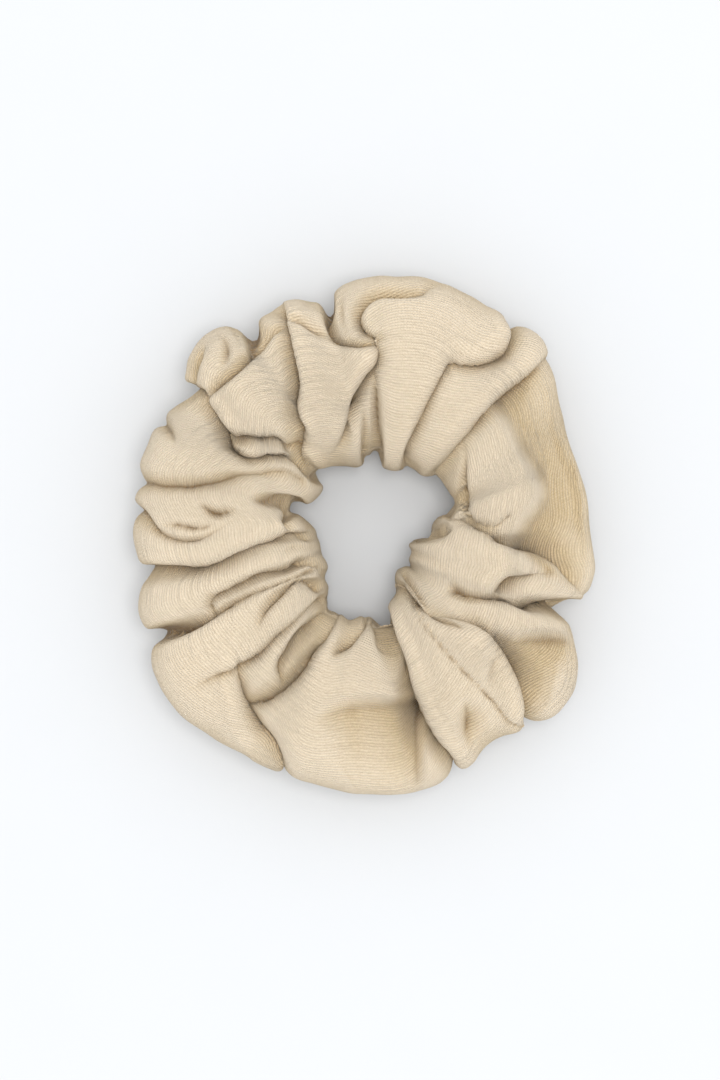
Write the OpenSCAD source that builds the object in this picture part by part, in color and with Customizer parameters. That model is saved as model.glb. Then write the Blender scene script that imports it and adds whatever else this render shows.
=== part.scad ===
// Scrunchie: a tube of cotton jersey gathered over a loop of flat elastic.
// Units are millimetres. +Z is up, the underside rests on z = 0, and the
// origin is at the centre of the outline. +X is the way the loop is pulled open.

/* [Outline] */
// Width across X, to the crests of the folds
outline_w = 108.5; // [96:0.5:120]
// Length across Y, to the crests of the folds
outline_l = 122.5; // [110:0.5:132]
// Height above the surface it lies on
height = 28; // [25:0.5:32]
// How far the outline's corners fill out beyond an ellipse
squareness = 0.045; // [0:0.005:0.08]

/* [Hole] */
// Diameter of the opening between the gathers
hole_d = 33; // [28:0.5:34]
// How far the opening lies to the +X side of the outline's centre
hole_shift = 2.5; // [0:0.5:5]

/* [Gathers] */
// Folds in each end of the loop
end_folds = 4; // [3:1:5]
// Folds in each short span between the ends
span_folds = 2; // [1:1:3]
// Depth of the valleys in the top
top_depth = 4; // [1:0.5:5]
// Depth of the valleys in the outer edge
rim_depth = 4; // [1:0.5:6]
// Depth of the valleys in the edge of the opening
inner_depth = 1.5; // [0.5:0.25:2]
// Gap left between neighbouring sections of the cover
section_gap = 0.6; // [0.4:0.1:1]

/* [Elastic] */
// Mean diameter of the relaxed elastic loop
elastic_d = 45; // [44:0.5:46]
// Width of the flat elastic
elastic_w = 6; // [4:0.5:6]
// Thickness of the flat elastic
elastic_t = 1; // [0.6:0.1:1]
// Length of the lapped join
lap_l = 12; // [8:1:16]

/* [Stitching] */
// Diameter of the sewing thread
thread_d = 0.6; // [0.4:0.1:0.8]

/* [Hidden] */

jersey = [0.88, 0.82, 0.71];
webbing = [0.93, 0.93, 0.91];
thread = [0.84, 0.77, 0.65];

spans = 3;                      // spans along the back, and as many along the front
slices_per_fold = 6;            // cross-sections drawn for each fold
section_points = 16;            // points round each cross-section, a multiple of 8
boxiness = 3;                   // 2 would make each cross-section an ellipse
mid_height = 0.46;              // widest level of the tube, as a share of its height
sunk = 1;                       // how far the rounded underside would reach below the floor
lift = 1.6;                     // how far a valley's underside stands off the floor
crest_rest = 0.2;               // share of each fold's slope that lies flat on the floor
duct_w = 3.6;                   // the free channel round the elastic, across its thickness
duct_h = 8;                     // and across its width
duct_z = 12.5;                  // height of the channel's middle
stitch_rows = 3;                // zigzag rows across the elastic's lap
seam_clear = 0.6;               // closing thread's distance from the valley it lies in
$fn = 96;

folds = 2 * end_folds + 2 * spans * span_folds;
fold_angle = 360 / folds;
end_angle = end_folds * fold_angle;
span_angle = span_folds * fold_angle;
slice_angle = fold_angle / slices_per_fold;
elastic_r = elastic_d / 2;
lap_angle = lap_l / (PI * elastic_d) * 360;
join_angle = 180;               // the lap is in the left end
seam_angle = -(end_angle + span_angle) / 2;   // a valley in the front right span
seam_r = elastic_r - duct_w / 2 + thread_d;
seam_z = duct_z - duct_h / 2 + thread_d;

// 0 on a fold's crest and 1 in the valley between two folds
function valley(angle) = 1 - abs(sin(180 * angle / fold_angle));

// Distance from the hole's centre to the outline, before the folds are cut in
function reach(angle) =
    let (c = cos(angle), s = sin(angle), a = outline_w / 2, b = outline_l / 2,
         qa = c * c / (a * a) + s * s / (b * b),
         qb = 2 * c * hole_shift / (a * a),
         qc = hole_shift * hole_shift / (a * a) - 1,
         ellipse = (-qb + sqrt(qb * qb - 4 * qa * qc)) / (2 * qa))
    ellipse * (1 + squareness * (1 - cos(4 * angle)) / 2);

// Rounds a circle's coordinate out towards a box
function boxed(x) = sign(x) * pow(abs(x), 2 / boxiness);

// The tube's cross-section at an angle round the hole, as [radius, height] points
function tube_section(angle) =
    let (v = valley(angle),
         inner = hole_d / 2 + inner_depth * v,
         outer = reach(angle) - rim_depth * v,
         top = height - top_depth * v,
         floor_z = lift * max(0, v - crest_rest) / (1 - crest_rest),
         middle = mid_height * top)
    [for (i = [0 : section_points - 1])
        let (turn = 360 * i / section_points, up = boxed(sin(turn)))
        [(inner + outer) / 2 + (outer - inner) / 2 * boxed(cos(turn)),
         max(floor_z, middle + up * (up > 0 ? top - middle : middle + sunk))]];

// The elastic's channel, with as many points as the tube's cross-section
function duct_section() =
    [for (i = [0 : section_points - 1])
        let (turn = 360 * i / section_points, c = cos(turn), s = sin(turn),
             most = max(abs(c), abs(s)))
        [elastic_r + duct_w / 2 * c / most, duct_z + duct_h / 2 * s / most]];

// Stands a cross-section up in the vertical plane at an angle round the hole
function stand(points, angle) =
    [for (p = points) [hole_shift + p[0] * cos(angle), p[0] * sin(angle), p[1]]];

// A stretch of the cover between two angles, with the elastic's channel through it
module cover_section(from, to) {
    n = section_points;
    trim = section_gap / 2 / (hole_d / 2) * 180 / PI;
    slices = round((to - from) / slice_angle);
    angles = [for (k = [0 : slices])
        k == 0 ? from + trim : k == slices ? to - trim : from + k * (to - from) / slices];
    rings = [for (a = angles) each concat(stand(tube_section(a), a), stand(duct_section(), a))];
    function out(k, i) = 2 * n * k + i % n;
    function duct(k, i) = 2 * n * k + n + i % n;
    steps = [0 : n - 1];
    sides = [for (k = [0 : slices - 1], i = steps) each [
        [out(k, i), out(k, i + 1), out(k + 1, i)],
        [out(k, i + 1), out(k + 1, i + 1), out(k + 1, i)],
        [duct(k, i), duct(k + 1, i), duct(k, i + 1)],
        [duct(k, i + 1), duct(k + 1, i), duct(k + 1, i + 1)]]];
    ends = [for (i = steps) each [
        [out(0, i), duct(0, i), out(0, i + 1)],
        [out(0, i + 1), duct(0, i), duct(0, i + 1)],
        [out(slices, i), out(slices, i + 1), duct(slices, i)],
        [out(slices, i + 1), duct(slices, i + 1), duct(slices, i)]]];
    color(jersey) polyhedron(points = rings, faces = concat(sides, ends), convexity = 6);
}

// The two ends that fingers hold
module cover_left() { cover_section(180 - end_angle / 2, 180 + end_angle / 2); }
module cover_right() { cover_section(-end_angle / 2, end_angle / 2); }

// The spans between them, numbered from the right: side is 1 at the back and -1 at the front
module cover_span(side, number) {
    near = end_angle / 2 + number * span_angle;
    far = near + span_angle;
    cover_section(min(side * near, side * far), max(side * near, side * far));
}

// A flat upright ring or part of one, centred on the hole
module upright_strip(radius, thick, wide, turn, start) {
    translate([hole_shift, 0, duct_z - wide / 2]) rotate([0, 0, start])
        rotate_extrude(angle = turn) translate([radius - thick / 2, 0]) square([thick, wide]);
}

// The elastic loop, with its two ends lapped
module elastic_band() {
    color(webbing) union() {
        upright_strip(elastic_r - elastic_t / 4, elastic_t, elastic_w, 360, 0);
        upright_strip(elastic_r + elastic_t / 2, elastic_t / 2 + 0.02, elastic_w,
                      lap_angle, join_angle - lap_angle / 2);
    }
}

// Rows of zigzag thread across the lap, standing just off the band
module elastic_stitching() {
    radius = elastic_r + elastic_t * 3 / 4 + thread_d / 2 + 0.05;
    color(thread) for (row = [0 : stitch_rows - 1])
        let (a = join_angle + lap_angle * (row - (stitch_rows - 1) / 2) / (stitch_rows + 1))
        translate([hole_shift + radius * cos(a), radius * sin(a), duct_z])
            cylinder(d = thread_d, h = elastic_w * 0.8, center = true, $fn = 24);
}

// The thread that closes the strip into a tube, on the hidden inner underside
module lengthwise_seam() {
    color(thread) translate([hole_shift, 0, seam_z])
        rotate_extrude() translate([seam_r, 0]) circle(d = thread_d, $fn = 24);
}

// The row of stitches across the tube, where its two ends meet
module closing_seam() {
    section = tube_section(seam_angle);
    color(thread) translate([hole_shift, 0, 0]) rotate([90, 0, seam_angle])
        translate([0, 0, -thread_d / 2]) linear_extrude(thread_d) difference() {
            offset(delta = seam_clear + thread_d) polygon(section);
            offset(delta = seam_clear) polygon(section);
        }
}

cover_left();
cover_right();
cover_span(1, 0);  // cover_back_right
cover_span(1, 1);  // cover_back_middle
cover_span(1, 2);  // cover_back_left
cover_span(-1, 0);  // cover_front_right
cover_span(-1, 1);  // cover_front_middle
cover_span(-1, 2);  // cover_front_left
elastic_band();
elastic_stitching();
lengthwise_seam();
closing_seam();
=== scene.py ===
"""A knitted jersey hair scrunchie lying on a pale table, seen from straight above."""
import math

import bpy
import numpy as np
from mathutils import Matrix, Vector


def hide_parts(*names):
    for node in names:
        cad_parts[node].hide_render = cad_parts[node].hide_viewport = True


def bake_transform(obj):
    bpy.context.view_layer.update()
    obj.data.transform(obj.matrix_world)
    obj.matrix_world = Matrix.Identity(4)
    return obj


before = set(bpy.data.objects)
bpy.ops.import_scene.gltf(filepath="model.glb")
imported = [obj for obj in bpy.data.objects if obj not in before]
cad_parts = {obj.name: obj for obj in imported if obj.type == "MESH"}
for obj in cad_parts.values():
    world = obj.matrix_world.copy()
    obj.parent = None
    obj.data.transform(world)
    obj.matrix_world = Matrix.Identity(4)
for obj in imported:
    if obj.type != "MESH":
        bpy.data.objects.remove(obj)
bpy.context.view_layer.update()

# ---------------------------------------------------------------- sizes, in millimetres unless said
MM = 0.001
HOLE = np.array([2.5, 0.0])         # centre of the hole in plan
COLUMNS, ROWS = 900, 192            # vertices round the ring, and round the tube
# Rough lengths of the cloth round the tube and round the ring, which turn rows and columns into millimetres.
TUBE_ROUND, RING_ROUND = 115.0, 317.0
CLOTH_THICK = 0.5

# The puffed ring, before it is creased.
MID_HEIGHT = 12.6                   # height of the widest part of the tube
RISE, DROP = 14.5, 12.0             # how far the tube stands above and below that
FULLNESS = 2.5                      # superellipse power of the tube's section
HALF_WIDE = 20.0                    # about half the tube's width, to space the rows evenly round it

# How a crease shapes the cloth beside it.
ROLL = 2.2                          # how squarely the upper cloth rolls over at a crease
DIVE = 2.6                          # how late the lower cloth dives under it
DEEPER = 1.3                        # all the creases' depths are times this
POINTED = 0.4                       # how much of a plain crease's section is a pointed valley
PAST_END = 1.5                      # how far a crease fades out past the ends of its path
FULL_LAP = 5.0                      # a crease at least this deep laps over in full
TUCK, TUCK_FADE = 1.2, 4.0          # how much of the lap the lower cloth tucks in, and how fast that fades
LEDGE_STEEP = 1.4                   # how soon a ledge sinks in full, as the cloth turns to face upward
KEPT_BELOW = 0.12                   # the share of a crease that is left on the underside
INNER_RADIUS = 30.0                 # nearer the hole's centre than this is the tube's inner side
INNER_FADE = (7.0, 11.0)            # creases start at this height there, and are whole this much higher
OUTER_FADE = (1.0, 12.0)            # the same on the outer side
EVENED = 0.35                       # the creased cloth is evened out over about this far
TABLE_GAP = 0.4                     # the cloth's outer face is kept at least this far above the table

# The small gathers, the undulations and the lengthwise seam's groove.
PLEATS = 36                         # small gathers round the hole and the underside
PLEAT_WANDER = 1.6                  # radians that they stray from even spacing
PLEAT_DEEP, PLEAT_AT_HOLE = 0.7, 2.2        # their depth, and how much is added beside the hole
NEAR_HOLE, HOLE_FADE = 14.0, 14.0   # gathers are full out to this radius, and fade over this far
BELOW_START, BELOW_FADE = 1.0, 8.0  # gathers start this far below the middle, and grow over this far
LIP_RIPPLE, SOFT_RIPPLE, FINE_RIPPLE = 0.35, 0.28, 0.10
SEAM_ROW = 171                      # the row that the lengthwise seam runs along, under the lip
SEAM_DEEP, SEAM_WIDE = 0.7, 0.8     # the groove that it pulls into the cloth

# The elastic, and how the cloth keeps clear of it.
ELASTIC_RADIUS, ELASTIC_WIDTH, ELASTIC_THICK = 22.5, 6.0, 1.0
ELASTIC_LAP = 12.0
ELASTIC_EDGE = 0.25                 # how far its long edges are cut back
LAP_APART = 0.52                    # each end lies this share of its thickness off the loop's middle
CLEAR_SIDE, CLEAR_ABOVE = 0.3, 0.4  # room between it and the cloth
HELD_HIGH, HELD_WIDE = 6.5, 3.2     # how far up and down, and to each side, the cloth is kept clear
INNER_ROWS = 0.3                    # rows whose turn has a cosine above this face the hole
TURN_SHARP = 2.0                    # how sharply the cloth turns aside

# The stitches.
THREAD_WIDE, THREAD_SIDES = 0.25, 6
STITCH_LONG, STITCH_GAP = 2.6, 0.8  # along the lengthwise seam
STITCH_PROUD, STITCH_DIVE = 0.15, 0.4       # their height in the middle, and how far the ends sink from it
LADDER_STEP, LADDER_REACH = 1.9, 0.40       # across the closing seam: how far apart, how far to each side
LADDER_SUNK, LADDER_PROUD = 0.25, 0.3       # how far their ends sink, and how far their middles stand up
LADDER_BULGE = 0.4                  # they also rise by this share of the groove's depth
BAR_APART, BAR_HALF = 3.6, 2.3      # the zigzag bars of the elastic's join: spacing, and half their length
ZIGZAG_WIDE, ZIGZAG_LONG = 0.75, 1.15       # half of one zigzag's width, and its length

# (degree round the hole's centre, radius of the lip of the hole there)
LIP = (
    (0, 9), (8, 12), (15, 13.5), (19, 15.5), (22.5, 20.2), (30, 21), (38, 20.6), (44, 20.6), (50, 19),
    (58, 18.5), (64, 17), (72, 16.2), (82, 16.6), (88, 19), (94, 19), (98, 17.8), (106, 17.4), (116, 18.3),
    (125, 20), (130, 20.3), (136, 17), (142, 16.3), (150, 17.3), (156, 20), (160, 20.6), (165, 17.5),
    (170, 14.5), (180, 13), (190, 12.9), (198, 12.8), (206, 12), (213, 13), (222, 15), (230, 16.3),
    (238, 19), (248, 19), (254, 20.3), (262, 18.3), (272, 18.5), (278, 20.2), (284, 17), (293, 14.3),
    (297, 12), (302, 10.3), (308, 9.6), (313, 10.3), (320, 11.8), (330, 10.6), (345, 8.7), (354, 8.4),
)
# (degree, radius of the rim there)
RIM = (
    (-19, 50), (-15, 52.3), (-10, 52.4), (0, 51.3), (10, 50.8), (20, 50.8), (30, 52), (38, 55), (44, 58.5),
    (50, 61.4), (56, 62.2), (61, 61), (68, 61.2), (76, 62), (86, 61.3), (94, 60.3), (98, 59), (101, 56.5),
    (104, 57), (108, 59), (112, 59.7), (117, 58.7), (121, 57), (124, 60.5), (130, 62.3), (136, 61.5),
    (140, 59), (143, 56.5), (150, 57.5), (160, 57.4), (168, 57), (174, 56.2), (180, 56.4), (186, 55.3),
    (190, 54.6), (194, 56.5), (198, 58), (202, 57.8), (205, 57), (208, 59.3), (214, 61.2), (222, 61.9),
    (232, 60.3), (240, 59.8), (248, 61.2), (256, 59.8), (265, 60.8), (276, 60.8), (285, 59.8), (292, 58.8),
    (297, 56.4), (303, 56.2), (308, 58.3), (315, 59.6), (322, 59), (328, 56.5), (333, 53), (337, 50),
)

# The folds of the gathered cloth meet in creases. Each line: name, which side lies on top (1 left of the
# path, -1 right, 0 neither), how far the cloth curves down to the crease on the upper and the lower side,
# the crease's depth at its start, middle and end, how far the upper side laps over, and the path in plan
# as (degree round the hole's centre, radius). Where one side lies on top and the lap is 0, the crease is a
# ledge: the cloth only sinks to a lower level there.
CREASES = (
    ("tongue over skirt", -1, 4, 8, (2, 6.5, 1), 1.2,
     ((24, 18.5), (15, 17.5), (10, 20.5), (5, 23.3), (-1, 28), (-4, 33), (-5.5, 38), (-8, 43), (-12, 47),
      (-16, 52))),
    ("notch", -1, 4, 4, (4, 8, 17), 0.5,
     ((-34.5, 22), (-32.5, 26), (-29, 30), (-26, 35), (-23.5, 40), (-21.5, 45), (-20.5, 52), (-20, 62))),
    ("tongue over recess", 1, 4, 7, (0, 7.5, 2), 0.8,
     ((-31, 29.5), (-25, 30.5), (-20, 31.5), (-16, 34), (-13, 38), (-12.5, 41))),
    ("bulge over skirt", 1, 4, 24, (6, 6, 3), 0.0,
     ((-4, 33.5), (0.2, 35.3), (4, 37), (8, 39.4), (12, 41.8), (16, 42.7), (22, 42.3), (30, 41.7),
      (38.4, 42.6), (44, 43.2), (48, 44))),
    ("bulge pit", 0, 2, 2, (4, 5.5, 2), 0.0, ((20, 22), (14, 22.4), (10, 23.6))),
    ("bulge edge", 1, 2.5, 2, (1.5, 4.5, 2), 0.4,
     ((45, 29.5), (42, 28.3), (37.5, 26.3), (32.8, 24.5), (24, 22.9), (16, 22.2), (11, 23), (8.4, 24.6),
      (6.4, 27), (6.3, 29), (9, 31.5))),
    ("second panel", 1, 4, 7, (2, 4.5, 1), 0.8,
     ((45, 21), (47, 26), (48.3, 32), (48, 38), (47.5, 42), (46.8, 47), (46, 53), (45.5, 61))),
    ("big lobe side", 1, 3.5, 5, (5, 3.5, 4), 0.6,
     ((65, 17.5), (69, 20.8), (68.7, 25), (68.3, 30), (67.8, 36), (67.3, 42))),
    ("big lobe nose", 1, 4.5, 8, (4, 6.5, 3), 1.0,
     ((67.3, 42), (66, 44.6), (62, 45.6), (58.5, 47.7), (56, 51), (55, 55), (56, 58.7), (59, 61.5),
      (62, 65))),
    ("big lobe top", 1, 3, 4, (0, 4, 4), 0.6,
     ((73, 63), (77, 60), (79, 58), (83, 57), (88, 56.6), (91.5, 55), (93.6, 52), (93.2, 49), (91, 46.5),
      (89.5, 44))),
    ("diagonal", -1, 3, 5, (4, 7.5, 0), 1.0,
     ((89.3, 46), (89.3, 41), (93, 37), (96.5, 33.5), (100, 30), (104, 26.3), (108, 23.6), (113, 22.2),
      (122, 21.5))),
    ("big lobe foot", -1, 3.5, 2.5, (5, 4, 3), 0.4, ((88.3, 18), (88.8, 24), (89, 30), (89.3, 37))),
    ("pleat", 0, 2, 2, (3, 2.5, 0), 0.0, ((94, 18), (93.8, 25), (94.2, 31), (95, 34))),
    ("ridge pair line", 0, 1.5, 1.5, (1, 1.8, 0), 0.0, ((96.5, 45.3), (98.2, 50), (98.2, 55), (96, 59))),
    ("ridge pair end", 1, 3, 3, (4, 5, 8), 0.6,
     ((90, 44.7), (94, 44.4), (98, 45), (100.5, 46.3), (101.6, 48.5), (102, 52), (101.5, 56), (101.5, 64))),
    ("panel loop", 0, 2.5, 2.5, (2, 3, 3), 0.0, ((102, 46.8), (105, 49.5), (108, 53), (111, 56.5))),
    ("left panel top", 1, 3, 4, (3, 4, 3), 0.6,
     ((111.3, 57), (113, 55), (117, 53.3), (121, 51.3), (126, 50.2), (131, 49.8), (136, 50.1), (141, 50.8))),
    ("panels", -1, 3, 8, (3, 6, 4), 0.8,
     ((129.5, 20), (128.7, 24.5), (126, 27), (123, 29.6), (122, 32.5), (119, 36), (116, 40), (114, 45),
      (112.3, 52), (111.3, 57.5))),
    ("left panel edge", -1, 3, 5, (4, 6, 4), 0.8,
     ((127, 27.3), (130.3, 28.6), (132, 31), (136, 34), (140, 37), (142.5, 40), (142.3, 44), (141.2, 47),
      (141, 51))),
    ("upper left", -1, 3, 6, (5, 8, 5), 0.8,
     ((129.5, 19), (131, 24), (135, 27), (140, 30), (144, 32), (146.5, 35), (146, 38.5), (144, 42),
      (141.8, 45.5), (140.5, 49), (139.5, 53), (141.5, 58), (142, 64))),
    ("loop gap", 0, 3, 3, (3, 4, 7), 0.0, ((122.5, 51.5), (121.3, 54), (120.5, 57), (120.5, 64))),
    ("left loop", 0, 2.2, 2.2, (0, 2.5, 0), 0.0,
     ((128, 61.5), (127, 58), (128.5, 55), (131.5, 52.5), (134, 51))),
    ("left loop line", 0, 1.3, 1.3, (0, 1.2, 0), 0.0, ((124, 60.5), (124, 56), (126, 53), (128.5, 50.8))),
    ("left loop hollow", 0, 4, 4, (0, 3.5, 3), 0.0, ((129, 60.5), (133, 60), (137, 58.5), (140.5, 56))),
    ("upper left side", 0, 5, 5, (3, 5, 3), 0.3,
     ((141, 20.5), (144, 24.5), (149, 28.5), (154, 32), (159, 37), (163, 42), (165, 47), (166.3, 52),
      (166.5, 57), (166.5, 64))),
    ("upper left dent", 0, 3.5, 3.5, (2, 2.5, 0), 0.0, ((150, 62), (151.5, 56), (154, 51.8), (158, 49.5))),
    ("left a foot", 0, 2.5, 2.5, (5, 3, 0), 0.0, ((157, 19), (158.5, 22.5), (162, 28), (164, 31))),
    ("left a hook", 0, 2.5, 2.5, (0, 4.5, 0), 0.0,
     ((166, 41), (169.5, 40), (171.3, 37), (169.8, 34), (166.5, 31.5))),
    ("left a outer", 1, 3, 3, (0, 3.5, 3), 0.4,
     ((166, 29.8), (170, 30.8), (174, 33.2), (178, 36.5), (181, 41), (181, 46), (178.5, 51), (174, 55.5),
      (172, 63))),
    ("left a inner", 0, 2, 2, (0, 3, 0), 0.0,
     ((171, 32.5), (175, 36.5), (177, 41), (176.4, 46), (177, 51), (178, 53))),
    ("left b", -1, 3.5, 5, (4, 6.5, 3), 0.8,
     ((173, 15.5), (176, 18), (179.5, 21), (183, 26), (187, 31), (189.5, 36), (190, 41), (189, 46),
      (188.3, 50), (187.5, 56), (187.5, 64))),
    ("left b foot", -1, 2.5, 3, (3, 3.5, 4), 0.4,
     ((159, 22.5), (163, 20.6), (168, 20.7), (172, 19), (175.5, 17))),
    ("left b lip", 0, 2, 2, (4, 3, 0), 0.0, ((175, 16.5), (180, 14.9), (186, 13.8))),
    ("left c foot", -1, 3, 3, (5, 4.5, 4), 0.4,
     ((198, 17), (199.5, 21), (199, 24), (198.6, 28), (199.5, 33), (200.8, 39))),
    ("left c", 1, 3.5, 4, (3, 6, 3.5), 0.6,
     ((200.5, 39.5), (203, 40.6), (206, 41), (206.4, 45), (205.8, 50), (204.8, 56), (204, 64))),
    ("left d", 1, 3, 2.5, (3, 3, 4), 0.3,
     ((209.5, 15.5), (207, 19.5), (206, 24), (205, 30), (205.6, 36), (206.4, 42))),
    ("left lip hook", 0, 2, 2, (0.5, 1.8, 0), 0.0,
     ((189.5, 14.5), (187.2, 17.3), (188, 19.3), (192, 21), (198, 21.8))),
    ("left lip", -1, 2.5, 2.5, (2.5, 3, 0), 0.3,
     ((198.3, 18.5), (201, 15.6), (206, 13.9), (212, 13.9), (218, 15), (223, 16))),
    ("lower left hook", 1, 3, 5, (4, 4, 0), 0.4,
     ((213.2, 19.5), (212.8, 24), (214.3, 29), (217.5, 33), (221, 35))),
    ("lower left foot", -1, 3, 2.5, (4, 3.5, 0), 0.3, ((213.2, 20), (218, 18), (225, 17), (232, 17))),
    ("lower left", -1, 3.5, 3.5, (2, 4.5, 0), 0.5,
     ((231, 18.5), (228, 23.5), (226, 28), (225.3, 33), (225.3, 38), (224, 43), (221.5, 48), (219.5, 54),
      (219, 58))),
    ("rim panel", -1, 4, 8, (3, 7, 2.5), 1.0,
     ((223, 43), (226, 45), (230, 47.5), (234, 50.5), (238, 53), (242, 55), (246, 57.8), (249, 61),
      (251, 66))),
    ("front side", 1, 4, 9, (2, 6, 5), 0.5,
     ((246.5, 19), (244, 25), (242.4, 29), (242, 35), (240.5, 40), (237.5, 45), (234, 49.5))),
    ("front pleat", -1, 3, 7, (2, 5.5, 3.5), 0.4,
     ((239, 18.5), (235, 23), (232.6, 28), (232.4, 33), (233.5, 37), (237, 39.5))),
    ("front ledge", 1, 4, 26, (0, 3.5, 6), 0.0,
     ((250, 48), (253, 44.6), (258, 41.8), (263, 40.2), (268, 39.5), (276, 39.8), (284, 40.8))),
    ("front crease", -1, 3.5, 3, (0, 4, 3), 0.3,
     ((249, 31.5), (254, 26.6), (259, 22.6), (263, 20), (266, 17))),
    ("front hook", 0, 2.5, 2.5, (2, 3, 3), 0.0,
     ((283, 26.3), (278, 25.9), (274.5, 24.9), (273.6, 23.3), (275.5, 21.3), (278, 19))),
    ("seam lobe left", 1, 4, 8, (5, 8.5, 4), 1.0,
     ((278, 18), (280.5, 23), (283, 27), (283.6, 31), (283.7, 36), (284.8, 41), (286, 46), (288, 51.5),
      (290.3, 57), (291, 65))),
    ("seam lobe dimple", 0, 5, 5, (0, 3.2, 0), 0.0,
     ((295, 56), (296, 52), (297.5, 49), (298.5, 46), (299, 42))),
    ("seam lobe right", -1, 4, 9, (2, 7, 3), 1.0,
     ((306, 21.5), (313, 25.2), (318, 29), (320, 32.5), (319.8, 38), (318, 43), (315, 49), (311.5, 54),
      (308.3, 58), (307, 65))),
    ("beak side", -1, 3, 2.5, (5, 4.5, 0), 0.4,
     ((296, 13), (300, 17.6), (304, 21), (308, 24.5), (312, 28.7), (315.5, 31.7), (317.5, 33.5))),
    ("beak tip", 0, 2, 2, (3, 3, 0), 0.0, ((309.3, 11), (308.6, 17), (308.5, 21), (309, 24))),
    ("band top", 1, 4, 20, (3, 5, 2), 0.0,
     ((320.3, 37.5), (323, 41), (326, 43.5), (328.5, 46.5), (330.5, 50), (331.5, 54))),
    ("tongue tip", -1, 2.5, 7, (5, 4, 0), 0.3, ((0.5, 9), (1.3, 13), (2.5, 16), (5, 19))),
)
# The closing seam crosses the tube here: (degree, radius) from the lip of the hole to past the rim.
CLOSING_SEAM = (
    (296, 15), (298.5, 22), (301, 28), (303, 35), (304.8, 42), (305.8, 48), (306, 54), (307.5, 59),
    (308, 65),
)


# ---------------------------------------------------------------- curves
def through(table, at):
    """A smooth closed curve through (degree, value) pairs, read at these angles in degrees."""
    degree, value = np.array(sorted((d % 360, v) for d, v in table), float).T
    degree = np.concatenate([degree[-2:] - 360, degree, degree[:2] + 360])
    value = np.concatenate([value[-2:], value, value[:2]])
    slope = np.gradient(value, degree)
    at = np.asarray(at, float) % 360
    k = np.searchsorted(degree, at, side="right") - 1
    gap = degree[k + 1] - degree[k]
    t = (at - degree[k]) / gap
    rising = (t ** 3 - 2 * t ** 2 + t) * gap * slope[k] + (t ** 3 - t ** 2) * gap * slope[k + 1]
    return (2 * t ** 3 - 3 * t ** 2 + 1) * value[k] + (3 * t ** 2 - 2 * t ** 3) * value[k + 1] + rising


def plan(degree, radius):
    """Points in plan at a bearing and distance from the hole's centre."""
    angle = np.radians(degree)
    return np.stack([HOLE[0] + radius * np.cos(angle), HOLE[1] + radius * np.sin(angle)], -1)


def spline(points, step=0.8):
    """A smooth path through the points, with places about step apart, and the share of its length at
    each."""
    p = np.array(points, float)
    p = np.concatenate([[2 * p[0] - p[1]], p, [2 * p[-1] - p[-2]]])
    out = []
    for a, b, c, d in zip(p, p[1:], p[2:], p[3:]):
        count = max(2, math.ceil(np.linalg.norm(c - b) / step))
        t = (np.arange(count) / count)[:, None]
        curve = (c - a) * t + (2 * a - 5 * b + 4 * c - d) * t ** 2 + (3 * b - a - 3 * c + d) * t ** 3
        out.append(b + 0.5 * curve)
    path = np.concatenate(out + [p[-2:-1]])
    length = np.concatenate([[0], np.cumsum(np.linalg.norm(np.diff(path, axis=0), axis=1))])
    return path, length / length[-1]


# ---------------------------------------------------------------- the cover's shape
def body_surface():
    """The puffed ring before it is creased, as columns round the ring of rows round the tube."""
    bearing = np.arange(COLUMNS) * 360 / COLUMNS
    lip, rim = through(LIP, bearing), through(RIM, bearing)

    def section(turn):
        across, up = -np.cos(turn), np.sin(turn)
        power = 2 / FULLNESS
        return np.sign(across) * np.abs(across) ** power, np.sign(up) * np.abs(up) ** power

    turn = np.linspace(0, 2 * np.pi, 4001)
    across, up = section(turn)
    tall = np.where(up > 0, RISE, DROP)
    arc = np.concatenate([[0], np.cumsum(np.hypot(np.diff(across * HALF_WIDE), np.diff(up * tall)))])
    turn = np.interp(np.arange(ROWS) / ROWS * arc[-1], arc, turn)
    across, up = section(turn)
    radius = (lip + rim)[:, None] / 2 + (rim - lip)[:, None] / 2 * across
    height = MID_HEIGHT + np.where(up > 0, RISE, DROP) * up
    xy = plan(bearing[:, None], radius)
    z = np.broadcast_to(height, radius.shape)
    return np.concatenate([xy, z[..., None]], -1)


def outward(points):
    """Unit normals of a closed grid of points, pointing out of the tube."""
    along = np.roll(points, -1, 0) - np.roll(points, 1, 0)
    across = np.roll(points, -1, 1) - np.roll(points, 1, 1)
    normal = np.cross(along, across)
    normal /= np.linalg.norm(normal, axis=-1, keepdims=True) + 1e-9
    top = ROWS // 4
    return normal if normal[:, top, 2].mean() > 0 else -normal


def is_ledge(entry):
    """Whether the cloth only sinks to a lower level here, and nothing laps over."""
    _, high, _, _, _, lap, _ = entry
    return high != 0 and lap == 0


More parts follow.
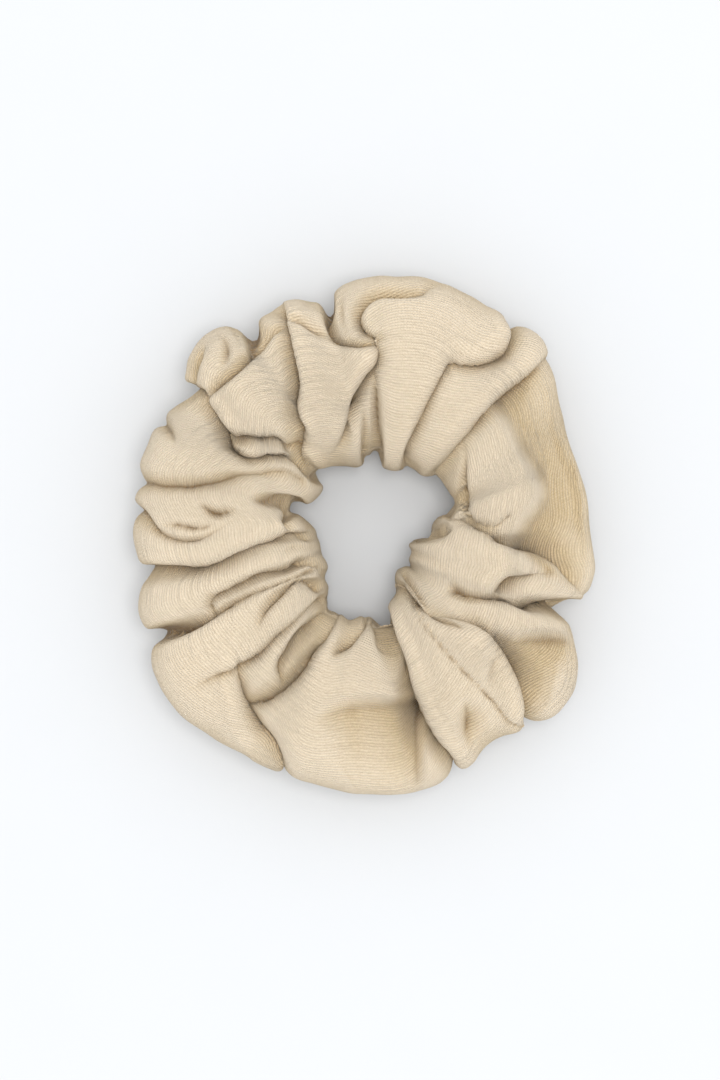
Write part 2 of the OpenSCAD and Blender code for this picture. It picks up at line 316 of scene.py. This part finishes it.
def cut(flat, entry):
    """How deep one crease cuts at each place in plan, and how far it pushes the cloth sideways."""
    _, high, wide_high, wide_low, depths, lap, path = entry
    line, share = spline(plan(*np.array(path, float).T))
    heading = np.gradient(line, axis=0)
    heading /= np.linalg.norm(heading, axis=1, keepdims=True)
    half = np.clip(2 * share, 0, 1), np.clip(2 * share - 1, 0, 1)
    ease = [t * t * (3 - 2 * t) for t in half]
    depth = depths[0] + (depths[1] - depths[0]) * ease[0] + (depths[2] - depths[1]) * ease[1]
    reach = max(wide_high, wide_low)
    near = np.nonzero(((flat > line.min(0) - reach) & (flat < line.max(0) + reach)).all(1))[0]
    away = flat[near][:, None] - line[None]
    closest = (away ** 2).sum(-1).argmin(1)
    away = away[np.arange(len(near)), closest]
    heading = heading[closest]
    distance = np.linalg.norm(away, axis=1)
    left = heading[:, 0] * away[:, 1] - heading[:, 1] * away[:, 0] > 0
    past_end = (closest == 0) | (closest == len(line) - 1)
    beyond = np.where(past_end, (heading * away).sum(1), 0)
    depth = depth[closest] * np.exp(-(beyond / PAST_END) ** 2)
    upper = np.zeros(len(near), bool) if high == 0 else left == (high > 0)
    t = np.clip(distance / np.where(upper | ((high == 0) & left), wide_high, wide_low), 0, 1)
    rolled = 1 - (1 - (1 - t) ** ROLL) ** (1 / ROLL)
    if high == 0:
        share_cut = POINTED * (1 - t) ** 2 + (1 - POINTED) * rolled
    else:
        share_cut = np.where(upper, rolled, (1 - t) ** DIVE)
    if is_ledge(entry):
        share_cut = (1 - t) ** 2 * (1 + 2 * t)
    down = np.zeros(len(flat))
    down[near] = depth * share_cut
    sideways = np.zeros((len(flat), 2))
    to_high = np.stack([-heading[:, 1], heading[:, 0]], -1) * (1 if high >= 0 else -1)
    tucked = TUCK * lap * np.exp(-TUCK_FADE * t) * (t < 1)
    move = np.where(upper, -lap * np.sin(np.pi * t), tucked)
    sideways[near] = to_high * (move * np.clip(depth / FULL_LAP, 0, 1))[:, None]
    return down, sideways


def creased(points):
    """The ring with every crease cut into it. Where creases meet, the deepest one counts most."""
    normal = outward(points)
    flat = points[..., :2].reshape(-1, 2)
    depth, sink = np.zeros(len(flat)), np.zeros(len(flat))
    push = np.zeros((len(flat), 2))
    groove = ("closing seam", 0, 1.2, 1.2, (1.2, 1.8, 1.5), 0.0, CLOSING_SEAM)
    for entry in CREASES + (groove,):
        down, sideways = cut(flat, entry)
        if is_ledge(entry):
            sink += down ** 3
        else:
            depth += down ** 3
        push += sideways
    depth = DEEPER * np.cbrt(depth).reshape(points.shape[:2])
    sink = DEEPER * np.cbrt(sink).reshape(points.shape[:2])
    push = push.reshape(*points.shape[:2], 2)
    inner = np.linalg.norm(points[..., :2] - HOLE, axis=-1) < INNER_RADIUS
    start, rise = (np.where(inner, *pair) for pair in zip(INNER_FADE, OUTER_FADE))
    up = np.clip((points[..., 2] - start) / rise, 0, 1)
    shown = KEPT_BELOW + (1 - KEPT_BELOW) * up * up * (3 - 2 * up)
    out = points - normal * (depth * shown)[..., None]
    out[..., 2] -= sink * np.clip(LEDGE_STEEP * normal[..., 2], 0, 1) * shown
    out[..., :2] += push * shown[..., None]
    return out


def evened(points, axis, width):
    """The surface evened out along one direction of the grid, by about this many millimetres."""
    rounds = 40
    for _ in range(rounds):
        ahead, behind = np.roll(points, -1, axis), np.roll(points, 1, axis)
        gap = np.linalg.norm(ahead - behind, axis=-1, keepdims=True) / 2 + 1e-3
        amount = np.minimum(width ** 2 / rounds / gap ** 2, 0.4)
        points = points + ((ahead + behind) / 2 - points) * amount
    return points


def ripple(seed, waves_round, waves_across):
    """Smooth random ripples over the grid, up to so many waves each way, with a spread of 1."""
    noise = np.fft.fft2(np.random.default_rng(seed).standard_normal((COLUMNS, ROWS)))
    along = np.fft.fftfreq(COLUMNS, 1 / COLUMNS)[:, None] / waves_round
    across = np.fft.fftfreq(ROWS, 1 / ROWS)[None] / waves_across
    field = np.fft.ifft2(noise * np.exp(-along ** 2 - across ** 2)).real
    return (field - field.mean()) / field.std()


def rumpled(points):
    """Small gathers round the hole and beneath, undulations everywhere, and the seam's groove."""
    normal = outward(points)
    bearing = np.linspace(0, 2 * np.pi, COLUMNS, endpoint=False)[:, None]
    from_hole = np.linalg.norm(points[..., :2] - HOLE, axis=-1)
    near_hole = np.exp(-np.maximum(from_hole - NEAR_HOLE, 0) / HOLE_FADE)
    below = np.clip((MID_HEIGHT - BELOW_START - points[..., 2]) / BELOW_FADE, 0, 1)
    phase = PLEATS / 2 * bearing + PLEAT_WANDER * ripple(11, 9, 1.5)
    gather = (1 - np.abs(np.sin(phase))) ** 2
    depth = gather * below * (PLEAT_DEEP + PLEAT_AT_HOLE * near_hole)
    depth += LIP_RIPPLE * ripple(12, 24, 2) * near_hole
    depth += SOFT_RIPPLE * ripple(13, 11, 4) + FINE_RIPPLE * ripple(14, 45, 9) * (1 - near_hole)
    apart = (np.arange(ROWS) - SEAM_ROW) * TUBE_ROUND / ROWS        # millimetres from the seam, roughly
    depth += SEAM_DEEP * np.exp(-(apart / SEAM_WIDE) ** 2)
    return points - normal * depth[..., None]


def at_least(value, least):
    """The greater of the two, with a soft turn between them."""
    return np.logaddexp(value * TURN_SHARP, least * TURN_SHARP) / TURN_SHARP


def round_elastic(points):
    """Keeps the cloth outside the elastic, which it is gathered on."""
    off = points[..., :2] - HOLE
    radius = np.linalg.norm(off, axis=-1)
    level = np.exp(-((points[..., 2] - MID_HEIGHT) / HELD_HIGH) ** 4)
    most = ELASTIC_RADIUS - ELASTIC_THICK / 2 - CLOTH_THICK - CLEAR_SIDE
    inner = np.cos(np.arange(ROWS) * 2 * np.pi / ROWS)[None] > INNER_ROWS
    held = np.where(inner, -at_least(-radius, -most), radius)
    points = points.copy()
    points[..., :2] = HOLE + off * ((radius + (held - radius) * level) / radius)[..., None]
    over = np.exp(-((radius - ELASTIC_RADIUS) / HELD_WIDE) ** 4)
    least = MID_HEIGHT + ELASTIC_WIDTH / 2 + CLOTH_THICK + CLEAR_ABOVE
    top = points[..., 2] > MID_HEIGHT
    lifted = np.where(top, at_least(points[..., 2], least), points[..., 2])
    points[..., 2] += (lifted - points[..., 2]) * over
    return points


def from_closing_seam(points, body):
    """The same surface with its columns counted from the closing seam, which is slanted across the tube."""
    radius = np.linalg.norm(body[..., :2] - HOLE, axis=-1).mean(0)
    line, _ = spline(plan(*np.array(CLOSING_SEAM, float).T) - HOLE)
    bearing = np.degrees(np.arctan2(line[:, 1], line[:, 0])) % 360
    first = np.round(np.interp(radius, np.linalg.norm(line, axis=1), bearing) * COLUMNS / 360).astype(int)
    column = (np.arange(COLUMNS)[:, None] + first[None]) % COLUMNS
    return np.take_along_axis(points, column[..., None], 0)


def cover_points():
    """The outer face of the gathered cover, as a closed grid of points that starts at the closing seam."""
    body = body_surface()
    points = creased(rumpled(body))
    points = evened(evened(points, 0, EVENED), 1, EVENED)
    points = round_elastic(points)
    points[..., 2] = np.maximum(points[..., 2], TABLE_GAP)
    return from_closing_seam(points, body)


def softened(values, width):
    """A closed grid of points, blurred by a bell of about this many millimetres."""
    along = np.fft.fftfreq(COLUMNS)[:, None] * width * COLUMNS / RING_ROUND
    across = np.fft.fftfreq(ROWS)[None] * width * ROWS / TUBE_ROUND
    bell = np.exp(-2 * np.pi ** 2 * (along ** 2 + across ** 2))[..., None]
    return np.fft.ifft2(np.fft.fft2(values, axes=(0, 1)) * bell, axes=(0, 1)).real


def hollow(points, width):
    """How far each place lies below the cloth around it, in millimetres."""
    return ((softened(points, width) - points) * outward(points)).sum(-1)


# ---------------------------------------------------------------- making meshes
def link(obj):
    """Puts the object in the scene."""
    bpy.context.scene.collection.objects.link(obj)
    return obj


def grid_mesh(name, points, uv, material, loop=True):
    """A tube-like mesh from columns x rows of points, with UVs in metres of cloth. Its columns close into a
    ring, or end in two caps."""
    columns, rows = points.shape[:2]
    index = np.arange(columns * rows).reshape(columns, rows)
    ahead = np.roll(index, -1, 0)
    faces = np.stack([index, np.roll(index, -1, 1), np.roll(ahead, -1, 1), ahead], -1)
    wide = np.concatenate([uv, 2 * uv[-1:] - uv[-2:-1]], 0)
    wide = np.concatenate([wide, 2 * wide[:, -1:] - wide[:, -2:-1]], 1)
    corners = np.stack([wide[:-1, :-1], wide[:-1, 1:], wide[1:, 1:], wide[1:, :-1]], 2)
    if loop:
        polygons, places = faces.reshape(-1, 4).tolist(), corners.reshape(-1, 2)
    else:
        polygons = faces[:-1].reshape(-1, 4).tolist() + [index[0, ::-1].tolist(), index[-1].tolist()]
        places = np.concatenate([corners[:-1].reshape(-1, 2), uv[0, ::-1], uv[-1]])
    return cloth_mesh(name, points.reshape(-1, 3), polygons, places, material)


def cloth_mesh(name, vertices, polygons, places, material):
    """A smooth mesh from millimetres, with a UV for each corner of each face."""
    mesh = bpy.data.meshes.new(name)
    mesh.from_pydata((vertices * MM).tolist(), [], polygons)
    mesh.polygons.foreach_set("use_smooth", [True] * len(mesh.polygons))
    layer = mesh.uv_layers.new(name="cloth")
    layer.data.foreach_set("uv", (places.reshape(-1) * MM).astype(np.float32))
    mesh.materials.append(material)
    return link(bpy.data.objects.new(name, mesh))


def measured(points):
    """How far each vertex is along a run of points, in millimetres."""
    return np.concatenate([[0], np.cumsum(np.linalg.norm(np.diff(points, axis=0), axis=-1))])


def cloth_lengths(points):
    """How far along and across the cloth each vertex is, measured over the folds, in millimetres. Along the
    cloth, the columns keep most of the knit square to the ribs, as the small gathers do."""
    shared, blur_across, blur_along = 0.75, 14, 16
    along = np.linalg.norm(np.diff(points, axis=0), axis=-1)
    across = np.linalg.norm(np.diff(points, axis=1), axis=-1)
    u = np.concatenate([np.zeros((1, points.shape[1])), np.cumsum(along, 0)])
    u -= u[-1:] / 2
    u = shared * u.mean(1, keepdims=True) + (1 - shared) * averaged(u, 1, blur_across, "edge")
    v = np.concatenate([np.zeros((points.shape[0], 1)), np.cumsum(across, 1)], 1)
    v = averaged(v, 0, blur_along, "wrap")
    return np.stack([u, v], -1)


def averaged(values, axis, spread, ends):
    """A table of values blurred along one axis, by a bell this many entries wide."""
    reach = 3 * spread
    bell = np.exp(-(np.arange(-reach, reach + 1) / spread) ** 2)
    bell /= bell.sum()
    pad = [(0, 0), (0, 0)]
    pad[axis] = (reach, reach)
    values = np.pad(values, pad, mode=ends)
    return np.apply_along_axis(lambda line: np.convolve(line, bell, "valid"), axis, values)


def threads(name, runs, material):
    """Sewing thread along each run, which is (points, the cloth's normals there), as one mesh of strands."""
    turn = np.arange(THREAD_SIDES) * 2 * np.pi / THREAD_SIDES
    vertices, polygons, places = [], [], []
    for points, normal in runs:
        heading = np.gradient(points, axis=0)
        heading /= np.linalg.norm(heading, axis=1, keepdims=True)
        side = np.cross(heading, normal)
        side /= np.linalg.norm(side, axis=1, keepdims=True)
        up = np.cross(side, heading)
        ring = side[:, None] * np.cos(turn)[None, :, None] + up[:, None] * np.sin(turn)[None, :, None]
        index = np.arange(THREAD_SIDES * len(points)).reshape(-1, THREAD_SIDES) + sum(map(len, vertices))
        beside = np.roll(index, -1, 1)
        faces = np.stack([index[:-1], index[1:], beside[1:], beside[:-1]], -1).reshape(-1, 4)
        polygons += faces.tolist() + [index[0].tolist(), index[-1, ::-1].tolist()]
        vertices.append((points[:, None] + ring * THREAD_WIDE / 2).reshape(-1, 3))
        length = np.broadcast_to(measured(points)[:, None], index.shape)
        around = np.broadcast_to(turn[None] * THREAD_WIDE / 2, index.shape)
        at = np.stack([length, around], -1).reshape(-1, 2)
        order = np.concatenate([faces.reshape(-1), index[0], index[-1, ::-1]]) - index[0, 0]
        places.append(at[order])
    return cloth_mesh(name, np.concatenate(vertices), polygons, np.concatenate(places), material)


def applied(obj):
    """Bakes an object's modifiers into its mesh."""
    graph = bpy.context.evaluated_depsgraph_get()
    mesh = bpy.data.meshes.new_from_object(obj.evaluated_get(graph))
    obj.modifiers.clear()
    obj.data = mesh
    return obj


# ---------------------------------------------------------------- materials
class Nodes:
    """A material's node tree, with short calls for the nodes used here."""

    def __init__(self, name):
        self.material = bpy.data.materials.new(name)
        self.material.use_nodes = True
        self.tree = self.material.node_tree
        self.shader = self.tree.nodes["Principled BSDF"]

    def put(self, kind, **inputs):
        node = self.tree.nodes.new(kind)
        for key, value in inputs.items():
            socket = node.inputs[key.replace("_", " ")]
            self.feed(value, socket)
        return node

    def feed(self, value, socket):
        if isinstance(value, bpy.types.NodeSocket):
            self.tree.links.new(value, socket)
        else:
            socket.default_value = value

    def math(self, operation, *values):
        node = self.tree.nodes.new("ShaderNodeMath")
        node.operation = operation
        for socket, value in zip(node.inputs, values):
            self.feed(value, socket)
        return node.outputs[0]

    def cloth_place(self):
        uv = self.tree.nodes.new("ShaderNodeUVMap")
        uv.uv_map = "cloth"
        split = self.put("ShaderNodeSeparateXYZ", Vector=uv.outputs[0])
        return uv.outputs[0], split.outputs[0], split.outputs[1]

    def noise(self, place, scale, detail, roughness=0.5):
        node = self.put("ShaderNodeTexNoise", Vector=place, Scale=scale, Detail=detail, Roughness=roughness)
        return node.outputs[0]

    def stretched(self, place, x, y):
        node = self.put("ShaderNodeMapping", Vector=place)
        node.inputs["Scale"].default_value = (x, y, 1)
        return node.outputs[0]

    def painted(self, name):
        node = self.tree.nodes.new("ShaderNodeAttribute")
        node.attribute_name = name
        return node.outputs["Fac"]

    def blend(self, share, first, second):
        node = self.tree.nodes.new("ShaderNodeMix")
        node.data_type = "RGBA"
        self.feed(share, node.inputs[0])
        self.feed(first, node.inputs[6])
        self.feed(second, node.inputs[7])
        return node.outputs[2]

    def finish(self, colour, roughness, height, strength, distance, **constants):
        bump = self.put("ShaderNodeBump", Height=height, Strength=strength, Distance=distance)
        self.feed(colour, self.shader.inputs["Base Color"])
        self.feed(roughness, self.shader.inputs["Roughness"])
        self.feed(bump.outputs[0], self.shader.inputs["Normal"])
        for key, value in constants.items():
            self.shader.inputs[key.replace("_", " ")].default_value = value
        return self.material


WALE = 0.00072          # metres between the ribs of the knit
COURSE = 0.00060        # metres between stitches along a rib
CORD, PICK = 0.00075, 0.0006            # metres between the elastic's cords, and between its picks
TWIST_LONG, TWIST_ROUND = 0.0006, 0.0009        # metres of thread to one ply, along it and round it
# Painted light and shade: the first pair is the darker, tan painted shade of the low cloth, the second the
# paler painted light on the high cloth.
SHADED_LOW = (0.42, 0.29, 0.14, 1), (0.86, 0.70, 0.46, 1)        # the low cloth, between its loops and on them
LIT_HIGH = (0.65, 0.515, 0.345, 1), (0.92, 0.795, 0.625, 1)     # the high cloth, likewise
# Painted shade, darkest deep in a crease.
CREASE_SHADE = (0.30, 0.19, 0.09, 1)         # deep in a crease


def jersey():
    """Brushed cotton jersey: fine ribs of V-shaped stitches along the tube, a soft nap, uneven dye, and
    painted light and shade read from the mesh.
    """
    n = Nodes("jersey_knit")
    place, along, across = n.cloth_place()
    waver = n.math("MULTIPLY", n.math("SUBTRACT", n.noise(place, 700, 2), 0.5), 0.45)
    rib = n.math("ADD", n.math("DIVIDE", across, WALE), waver)
    inside = n.math("FRACT", rib)
    ridge = n.math("SINE", n.math("MULTIPLY", inside, math.pi))
    lean = n.math("ABSOLUTE", n.math("SUBTRACT", inside, 0.5))
    course = n.math("ADD", n.math("DIVIDE", along, COURSE), n.math("MULTIPLY", lean, 1.3))
    stitch = n.math("SINE", n.math("MULTIPLY", course, 2 * math.pi))
    stitch = n.math("MULTIPLY_ADD", stitch, 0.5, 0.5)
    loops = n.math("MULTIPLY", ridge, n.math("MULTIPLY_ADD", stitch, 0.5, 0.5))
    nap = n.noise(place, 3200, 3, 0.6)
    slub = n.noise(n.stretched(place, 60, 700), 1.0, 3, 0.6)
    patch = n.noise(place, 45, 3, 0.55)
    height = n.math("ADD", n.math("MULTIPLY", loops, 0.75), n.math("MULTIPLY", nap, 0.55))
    height = n.math("ADD", height, n.math("MULTIPLY", slub, 0.3))
    fleck = n.math("MULTIPLY_ADD", n.noise(place, 1500, 4, 0.75), 1.7, -0.6)
    shade = n.math("ADD", n.math("MULTIPLY", loops, 0.38), n.math("MULTIPLY", fleck, 0.55))
    shade = n.math("ADD", shade, n.math("MULTIPLY", slub, 0.3))
    # The share of painted light: paler on high cloth, painted shade on low and hollow cloth, with random
    # patches of tone added.
    lit_share_and_patches = n.math("ADD", n.painted("light_and_shade"), n.math("MULTIPLY_ADD", patch, 0.5, -0.25))
    shaded_low = n.blend(shade, *SHADED_LOW)
    pale = n.blend(shade, *LIT_HIGH)
    lit_and_shaded_colour = n.blend(lit_share_and_patches, shaded_low, pale)
    # Painted shade darkens the cloth deep in its creases.
    lit_and_shaded_colour = n.blend(n.painted("crease_shade"), lit_and_shaded_colour, CREASE_SHADE)
    rough = n.math("MULTIPLY_ADD", nap, 0.12, 0.84)
    return n.finish(lit_and_shaded_colour, rough, height, 1.0, 0.0005, Sheen_Weight=0.42, Sheen_Roughness=0.45,
                    Sheen_Tint=(1.0, 0.95, 0.86, 1), Specular_IOR_Level=0.2)


def elastic_weave():
    """White braided elastic: cords along the band, crossed by fine picks."""
    n = Nodes("elastic_weave")
    place, along, across = n.cloth_place()
    cord = n.math("ABSOLUTE", n.math("SINE", n.math("MULTIPLY", across, math.pi / CORD)))
    pick = n.math("ABSOLUTE", n.math("SINE", n.math("MULTIPLY", along, math.pi / PICK)))
    weave = n.math("MULTIPLY", cord, n.math("MULTIPLY_ADD", pick, 0.4, 0.6))
    fuzz = n.noise(place, 2600, 2)
    height = n.math("ADD", weave, n.math("MULTIPLY", fuzz, 0.3))
    colour = n.blend(weave, (0.62, 0.61, 0.58, 1), (0.86, 0.86, 0.84, 1))
    rough = n.math("MULTIPLY_ADD", fuzz, 0.15, 0.6)
    return n.finish(colour, rough, height, 0.6, 0.0002, Sheen_Weight=0.15, Specular_IOR_Level=0.35)


def sewing_thread():
    """Two-ply thread a little darker than the cloth."""
    n = Nodes("sewing_thread")
    place, along, across = n.cloth_place()
    twist = n.math("ADD", n.math("DIVIDE", along, TWIST_LONG), n.math("DIVIDE", across, TWIST_ROUND))
    ply = n.math("ABSOLUTE", n.math("SINE", n.math("MULTIPLY", twist, math.pi)))
    fuzz = n.noise(place, 3000, 2)
    colour = n.blend(ply, (0.46, 0.35, 0.22, 1), (0.66, 0.53, 0.36, 1))
    rough = n.math("MULTIPLY_ADD", fuzz, 0.2, 0.55)
    return n.finish(colour, rough, ply, 0.5, 0.00008, Sheen_Weight=0.2, Specular_IOR_Level=0.3)


def table_top():
    """A matt white board with the faintest mottle."""
    n = Nodes("table_board")
    place = n.put("ShaderNodeTexCoord").outputs["Object"]
    mottle = n.noise(place, 40, 4)
    grain = n.noise(place, 900, 2)
    colour = n.blend(mottle, (0.650, 0.662, 0.680, 1), (0.662, 0.673, 0.688, 1))
    rough = n.math("MULTIPLY_ADD", grain, 0.1, 0.8)
    return n.finish(colour, rough, grain, 0.05, 0.0001, Specular_IOR_Level=0.1)


# ---------------------------------------------------------------- the pieces
def stretches(obj):
    """Bakes the piece's transform into its mesh."""
    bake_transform(obj)


def finished(obj, slot, *nodes):
    """The piece, with its transform baked, stands for these CAD nodes, which are hidden."""
    stretches(obj)
    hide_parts(*nodes)
    return obj


def paint(obj, name, values):
    """Gives the mesh a value from 0 to 1 at each vertex, for its material to read."""
    layer = obj.data.attributes.new(name, "FLOAT", "POINT")
    layer.data.foreach_set("value", np.clip(values, 0, 1).reshape(-1).astype(np.float32))


def fabric_cover(points):
    """One tube of jersey round the elastic, gathered, with real thickness. Its colour carries painted light
    and shade: the cloth that stands high is painted paler as if lit, the low and hollow cloth is painted
    darker and tan as shade, and the creases are painted darker as shade."""
    lit_from, lit_over = 14.5, 11.0
    cover = grid_mesh("fabric_cover", points, cloth_lengths(points), jersey())
    # Painted light and shade: paler with height, darker in hollows about 6 mm across.
    paint(cover, "light_and_shade", (points[..., 2] - lit_from) / lit_over - 0.3 * (hollow(points, 6.0) + 1))
    # Painted shade in creases about 1.2 mm across.
    paint(cover, "crease_shade", 1.1 * (hollow(points, 1.2) - 0.15))
    solid = cover.modifiers.new("thickness", "SOLIDIFY")
    solid.thickness = CLOTH_THICK * MM
    solid.offset = -1.0
    applied(cover)
    return finished(cover, "jersey", *[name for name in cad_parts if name.startswith("cover_")])


def stitch(start, middle, end, normal):
    """One stitch from point to point over a middle one, with both ends sunk in the cloth."""
    t = np.linspace(0, 1, 9)[:, None]
    run = start * (1 - t) ** 2 + 2 * middle * t * (1 - t) + end * t ** 2
    sunk = LADDER_SUNK * (2 * t - 1) ** 6
    return run - normal * sunk, np.broadcast_to(normal, run.shape)


def closing_seam_stitches(points, material):
    """The hand stitches that close the cover, slanting across the groove all round the tube."""
    normal = outward(points)
    reached = measured(np.concatenate([points[0], points[0, :1]]))
    runs = []
    for at in np.arange(LADDER_STEP / 2, reached[-1] - LADDER_STEP / 4, LADDER_STEP):
        row = int(np.searchsorted(reached, at)) % ROWS
        up = normal[0, row]
        start = beside_seam(points, row, LADDER_REACH)
        end = beside_seam(points, (row + 1) % ROWS, -LADDER_REACH)
        halfway = (start + end) / 2
        groove = max(0.0, (halfway - points[0, row]) @ up)
        middle = halfway + up * (LADDER_BULGE * groove + LADDER_PROUD)
        runs.append(stitch(start, middle, end, up))
    return threads("closing_seam_stitches", runs, material)


def beside_seam(points, row, away):
    """The place on the cloth this far from the closing seam, along one row."""
    nearby = 24
    columns = np.arange(nearby) * (1 if away > 0 else -1)
    line = points[columns, row]
    reached = measured(line)
    return np.array([np.interp(abs(away), reached, line[:, axis]) for axis in range(3)])


def lengthwise_seam_stitches(points, material):
    """The row of machine stitches that makes the strip into a tube, hidden under the lip of the hole."""
    places = 11
    line, normal = points[:, SEAM_ROW], outward(points)[:, SEAM_ROW]
    reached = measured(line)
    runs = []
    for start in np.arange(STITCH_GAP, reached[-1] - STITCH_LONG, STITCH_LONG + STITCH_GAP):
        at = np.linspace(start, start + STITCH_LONG, places)
        run = np.stack([np.interp(at, reached, line[:, axis]) for axis in range(3)], -1)
        up = np.stack([np.interp(at, reached, normal[:, axis]) for axis in range(3)], -1)
        up = np.broadcast_to(up.mean(0) / np.linalg.norm(up.mean(0)), run.shape)
        t = np.linspace(-1, 1, places)[:, None]
        runs.append((run + up * (STITCH_PROUD - STITCH_DIVE * t ** 6), up))
    return threads("lengthwise_seam_stitches", runs, material)


def elastic_loop(material):
    """The elastic inside the cover: a flat band made into a loop by lapping its ends at the left."""
    lap = math.degrees(ELASTIC_LAP / ELASTIC_RADIUS)
    turn = np.linspace(-lap / 2, 360 + lap / 2, 361)
    share = np.clip((turn - lap / 2) / (360 - lap), 0, 1)
    layer = ELASTIC_THICK * LAP_APART * (2 * share - 1)
    bearing = 180 + turn
    line = np.concatenate([plan(bearing, ELASTIC_RADIUS + layer), np.full((len(turn), 1), MID_HEIGHT)], 1)
    angle = np.radians(bearing)
    outer = np.stack([np.cos(angle), np.sin(angle), 0 * angle], -1)
    half, depth, edge = ELASTIC_WIDTH / 2, ELASTIC_THICK / 2, ELASTIC_EDGE
    section = np.array([(-half, -depth + edge), (-half + edge, -depth), (0, -depth), (half - edge, -depth),
                        (half, -depth + edge), (half, depth - edge), (half - edge, depth), (0, depth),
                        (-half + edge, depth), (-half, depth - edge)])
    up = np.array([0.0, 0.0, 1.0])
    points = np.stack([line + up * across + outer * out for across, out in section], 1)
    uv = np.stack(np.broadcast_arrays(measured(line)[:, None], measured(section)[None]), -1)
    return grid_mesh("elastic_loop", points, uv, material, loop=False)


def elastic_join_stitches(material):
    """Three zigzag bars through the lap of the elastic, seen on both of its faces."""
    places = 45
    off_middle = ELASTIC_THICK * 1.02 + 0.05        # just clear of the two layers
    runs = []
    for bar in (-BAR_APART, 0.0, BAR_APART):
        for face in (-1, 1):
            up = np.linspace(-BAR_HALF, BAR_HALF, places)
            zigzag = ZIGZAG_WIDE * (4 * np.abs((up / ZIGZAG_LONG) % 1 - 0.5) - 1)
            bearing = np.radians(180 + np.degrees((bar + zigzag) / ELASTIC_RADIUS))
            radius = ELASTIC_RADIUS + face * off_middle
            outer = np.stack([np.cos(bearing), np.sin(bearing), 0 * bearing], -1)
            run = outer * radius
            run[:, :2] += HOLE
            run[:, 2] = MID_HEIGHT + up
            runs.append((run, outer * face))
    return threads("elastic_join_stitches", runs, material)


# ---------------------------------------------------------------- the set
def floor():
    """A plain table top, 6 m across."""
    mesh = bpy.data.meshes.new("table")
    half = 3.0
    corners = [(-half, -half, 0), (half, -half, 0), (half, half, 0), (-half, half, 0)]
    mesh.from_pydata(corners, [], [(0, 1, 2, 3)])
    mesh.materials.append(table_top())
    link(bpy.data.objects.new("table", mesh))


def lamp(name, place, size, power, colour):
    """A round soft lamp that faces the frame's origin, in metres and watts."""
    light = bpy.data.lights.new(name, "AREA")
    light.shape = "DISK"
    light.size = size
    light.energy = power
    light.color = colour
    obj = link(bpy.data.objects.new(name, light))
    obj.location = place
    obj.rotation_euler = (-Vector(place)).to_track_quat("-Z", "Y").to_euler()


def studio():
    """Even pale light from all round, and one soft lamp almost overhead."""
    world = bpy.data.worlds.new("studio")
    bpy.context.scene.world = world
    world.use_nodes = True
    background = world.node_tree.nodes["Background"]
    background.inputs["Color"].default_value = (0.97, 0.985, 1.0, 1)
    background.inputs["Strength"].default_value = 1.08
    lamp("key", (0.15, 0.0, 1.7), 0.8, 13.1, (1.0, 0.99, 0.97))
    bpy.context.scene.view_settings.view_transform = "Standard"


def camera():
    """Straight down, over the point a little left of and below the frame's origin."""
    distance, seen_height, sensor = 0.80, 0.2538, 36
    data = bpy.data.cameras.new("camera")
    data.sensor_fit = "VERTICAL"
    data.sensor_height = sensor
    data.lens = sensor * (distance - MID_HEIGHT * MM) / seen_height
    obj = link(bpy.data.objects.new("camera", data))
    obj.location = (-0.0006, -0.0006, distance)
    bpy.context.scene.camera = obj


camera()
studio()
floor()
points = cover_points()
cover = fabric_cover(points)
finished(elastic_loop(elastic_weave()), "elastic", "elastic_band")
thread = sewing_thread()
finished(elastic_join_stitches(thread), "thread", "elastic_stitching")
finished(lengthwise_seam_stitches(points, thread), "thread", "lengthwise_seam")
finished(closing_seam_stitches(points, thread), "thread", "closing_seam")
